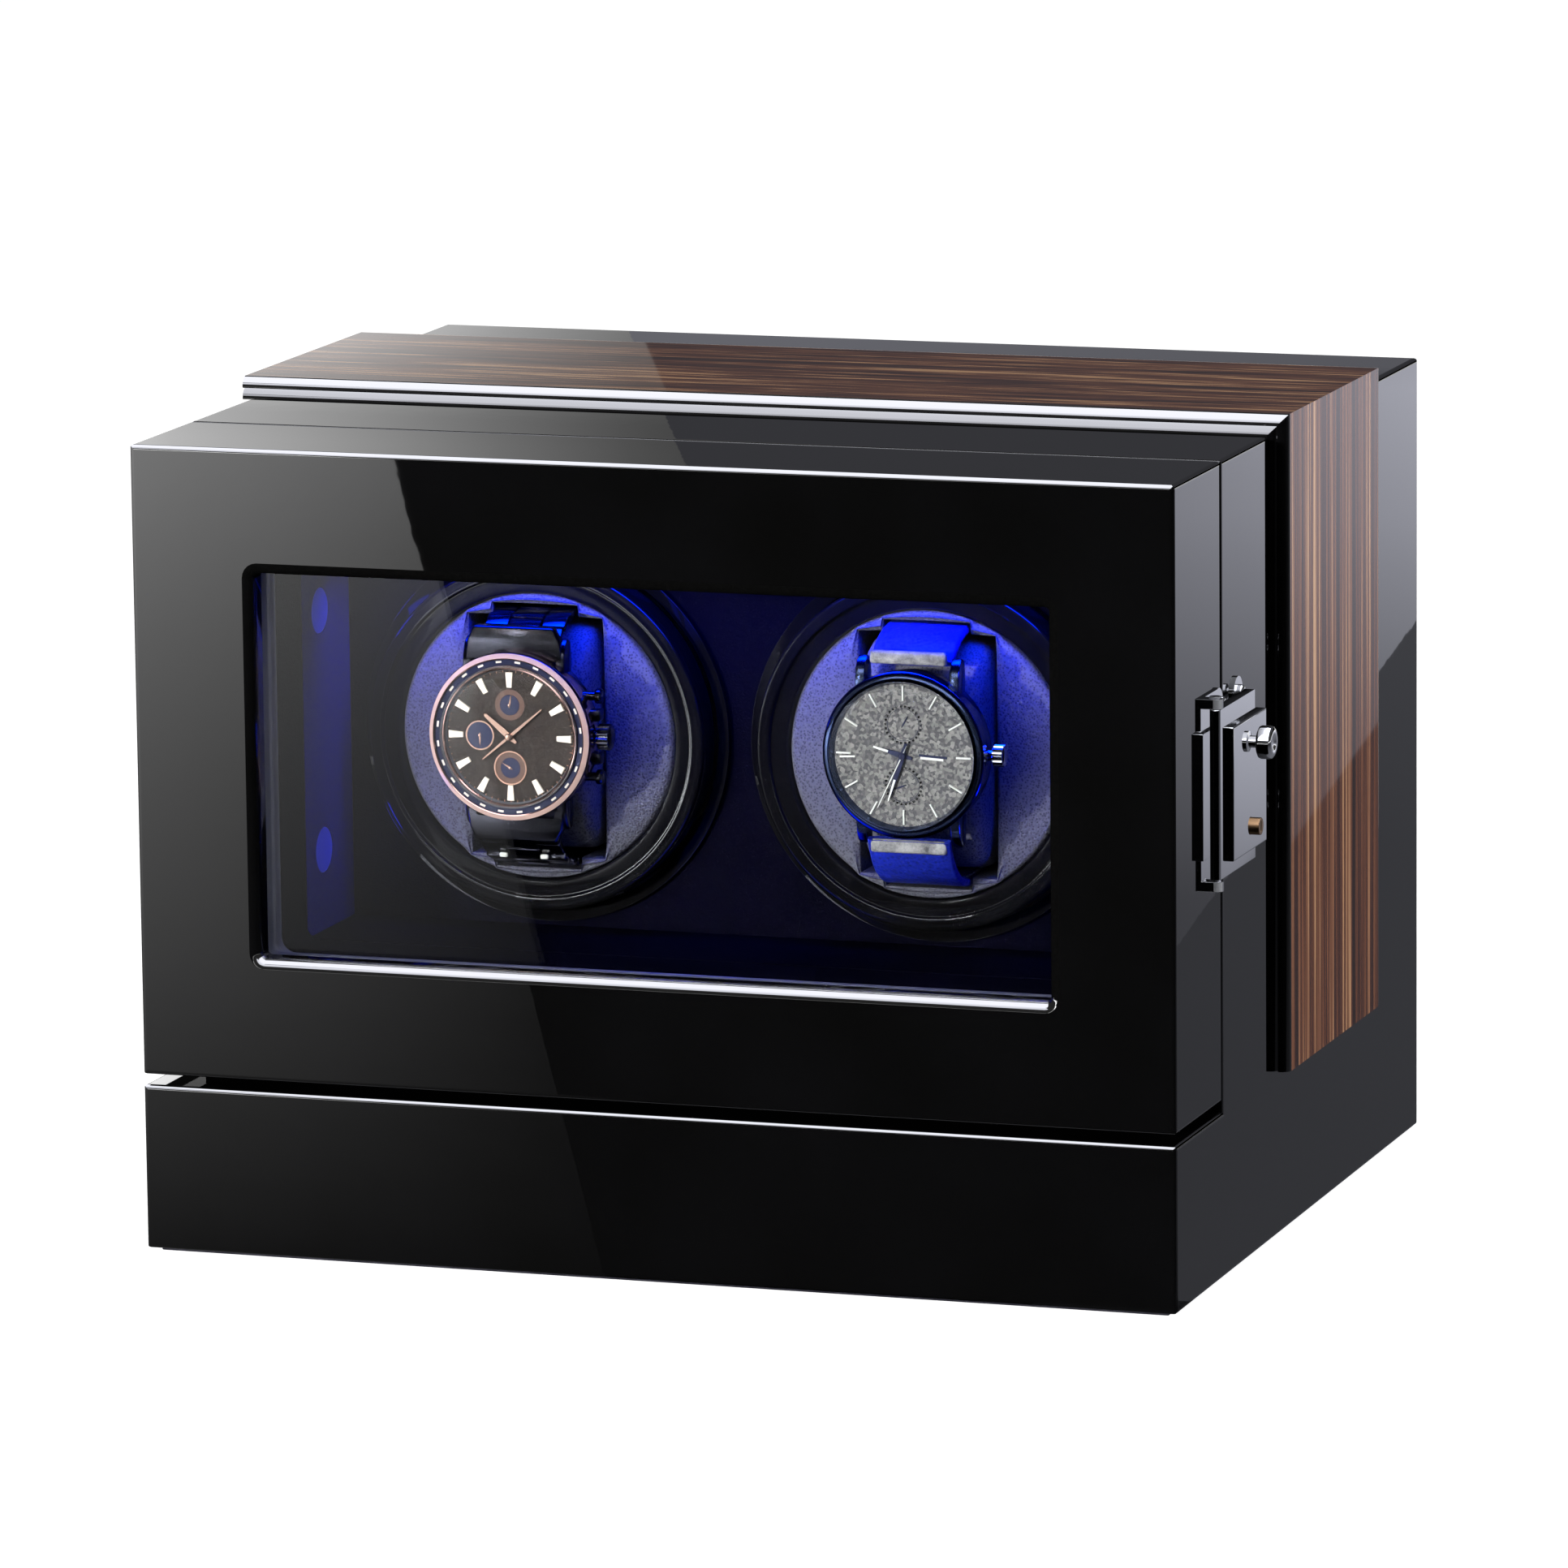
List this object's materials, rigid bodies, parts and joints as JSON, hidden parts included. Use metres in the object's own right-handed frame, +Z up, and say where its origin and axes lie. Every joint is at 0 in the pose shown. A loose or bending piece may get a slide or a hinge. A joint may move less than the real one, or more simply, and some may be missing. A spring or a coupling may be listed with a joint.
{
  "type": "watch winder",
  "caption": "Lacquered box with a hinged glass door, an ebony band, a hasp lock and a lit bay in which motor-driven drums turn cushions that hold watches.",
  "frame": {"origin": "middle of the felt face that the box stands on, under the lacquered body", "axes": "+X to the right seen from the door, +Y from the door to the rear, +Z up"},
  "size_m": [0.2981, 0.232, 0.216],
  "materials": {
    "lacquer": "high-gloss black piano lacquer over fibreboard",
    "felt": "pressed felt",
    "veneer": "glossy dark striped ebony veneer",
    "band_black": "high-gloss black lacquer",
    "velvet": "short-pile navy velvet",
    "gloss_black": "glossy black",
    "bead_metal": "satin anodised, brushed along its length",
    "led": "frosted blue light diffuser",
    "plate": "moulded dark grey plastic",
    "bronze": "sintered bronze",
    "motor": "plated steel",
    "belt": "black rubber",
    "panel": "fine-textured black",
    "screw_steel": "zinc-plated",
    "board": "green solder mask",
    "jack": "black plastic",
    "hinge_brass": "polished brass",
    "chrome": "polished chrome",
    "key_brass": "polished brass",
    "glass": "clear glass",
    "cup": "black plastic",
    "pad_leather": "grained grey-blue artificial leather over foam",
    "shaft_steel": "ground steel",
    "pulley": "natural acetal",
    "rose_metal": "polished rose-brown plated steel",
    "blue_metal": "blue-black coated steel",
    "dial_dark": "sunburst dark dial",
    "dial_grey": "sparkling grey dial",
    "crystal": "clear domed crystal",
    "bracelet_metal": "dark plated steel links",
    "strap_leather": "grained dark blue leather",
    "knob_black": "black plastic",
    "button_grey": "light grey plastic"
  },
  "bodies": {
    "cabinet": {"cabinet_shell": "lacquer", "base_felt": "felt", "band_core": "band_black", "veneer_top": "veneer", "veneer_side": "veneer", "bay_liner": "velvet", "fascia": "velvet", "fascia_trims": "gloss_black", "led_lamps": "led", "mechanism_plate": "plate", "shaft_bushings": "bronze", "motor_left": "motor", "motor_right": "motor", "belt_left": "belt", "belt_right": "belt", "rear_panel": "panel", "rear_screws": "screw_steel", "control_board": "board", "dc_jack": "jack", "cabinet_hinge_leaves": "hinge_brass", "hinge_pins": "hinge_brass", "latch_plate_cabinet": "chrome", "cabinet_screws": "screw_steel"},
    "door": {"door_frame": "lacquer", "window_pane": "glass", "pane_retainer": "bead_metal", "door_lining": "velvet", "door_hinge_leaves": "hinge_brass", "latch_plate_door": "chrome", "door_screws": "screw_steel", "hasp_pin": "screw_steel"},
    "hasp": {"hasp_lever": "chrome", "lock_case": "chrome"},
    "latch_knob": {"latch_knob": "chrome"},
    "latch_bolt": {"latch_bolt": "screw_steel"},
    "lock_cylinder": {"lock_cylinder": "key_brass"},
    "drum_left": {"drum_ring_left": "gloss_black", "drum_cup_left": "cup", "drum_pad_left": "pad_leather", "drum_shaft_left": "shaft_steel"},
    "motor_pulley_left": {"motor_pulley_left": "pulley"},
    "drum_right": {"drum_ring_right": "gloss_black", "drum_cup_right": "cup", "drum_pad_right": "pad_leather", "drum_shaft_right": "shaft_steel"},
    "motor_pulley_right": {"motor_pulley_right": "pulley"},
    "cushion_left": {"cushion_left": "pad_leather", "watch_left_case": "rose_metal", "watch_left_dial": "dial_dark", "watch_left_crystal": "crystal", "bracelet_left": "bracelet_metal"},
    "cushion_right": {"cushion_right": "pad_leather", "watch_right_case": "blue_metal", "watch_right_dial": "dial_grey", "watch_right_crystal": "crystal", "strap_right": "strap_leather"},
    "mode_knob_left": {"mode_knob_left": "knob_black"},
    "mode_knob_right": {"mode_knob_right": "knob_black"},
    "light_button": {"light_button": "button_grey"}
  },
  "joints": [
    {"name": "door_hinge", "type": "hinge", "parent": "cabinet", "child": "door", "pos_m": [-0.1406, -0.0743, 0.128], "axis": [0, 0, -1], "range_deg": [0, 110]},
    {"name": "hasp_hinge", "type": "hinge", "parent": "door", "child": "hasp", "pos_m": [0.1427, -0.0961, 0.1295], "axis": [0, 0, -1], "range_deg": [0, 105]},
    {"name": "latch_knob_turn", "type": "hinge", "parent": "hasp", "child": "latch_knob", "pos_m": [0.1471, -0.086, 0.1415], "axis": [1, 0, 0], "range_deg": [0, 90]},
    {"name": "latch_bolt_slide", "type": "slide", "parent": "hasp", "child": "latch_bolt", "axis": [-1, 0, 0], "range_m": [0, 0.0027]},
    {"name": "lock_cylinder_turn", "type": "hinge", "parent": "hasp", "child": "lock_cylinder", "pos_m": [0.1471, -0.08, 0.119], "axis": [1, 0, 0], "range_deg": [0, 90]},
    {"name": "drum_left_spin", "type": "hinge", "parent": "cabinet", "child": "drum_left", "pos_m": [-0.053, -0.009, 0.12735], "axis": [0, 1, 0], "continuous": true},
    {"name": "motor_pulley_left_spin", "type": "hinge", "parent": "cabinet", "child": "motor_pulley_left", "pos_m": [-0.053, 0.006, 0.06535], "axis": [0, 1, 0], "continuous": true},
    {"name": "cushion_left_pull", "type": "slide", "parent": "drum_left", "child": "cushion_left", "axis": [0, -1, 0], "range_m": [0, 0.024]},
    {"name": "drum_right_spin", "type": "hinge", "parent": "cabinet", "child": "drum_right", "pos_m": [0.053, -0.009, 0.12735], "axis": [0, 1, 0], "continuous": true},
    {"name": "motor_pulley_right_spin", "type": "hinge", "parent": "cabinet", "child": "motor_pulley_right", "pos_m": [0.053, 0.006, 0.06535], "axis": [0, 1, 0], "continuous": true},
    {"name": "cushion_right_pull", "type": "slide", "parent": "drum_right", "child": "cushion_right", "axis": [0, -1, 0], "range_m": [0, 0.024]},
    {"name": "mode_knob_left_turn", "type": "hinge", "parent": "cabinet", "child": "mode_knob_left", "pos_m": [-0.037, 0.102, 0.1], "axis": [0, 1, 0], "range_deg": [-135, 135]},
    {"name": "mode_knob_right_turn", "type": "hinge", "parent": "cabinet", "child": "mode_knob_right", "pos_m": [0.013, 0.102, 0.1], "axis": [0, 1, 0], "range_deg": [-135, 135]},
    {"name": "light_button_press", "type": "slide", "parent": "cabinet", "child": "light_button", "axis": [0, -1, 0], "range_m": [0, 0.0015], "stiffness_N_per_m": 400}
  ],
  "couplings": [
    {"joint": "latch_bolt_slide", "follows": "latch_knob_turn", "m_per_rad": 0.0014},
    {"joint": "motor_pulley_left_spin", "follows": "drum_left_spin", "ratio": 3.62},
    {"joint": "motor_pulley_right_spin", "follows": "drum_right_spin", "ratio": 3.62}
  ]
}
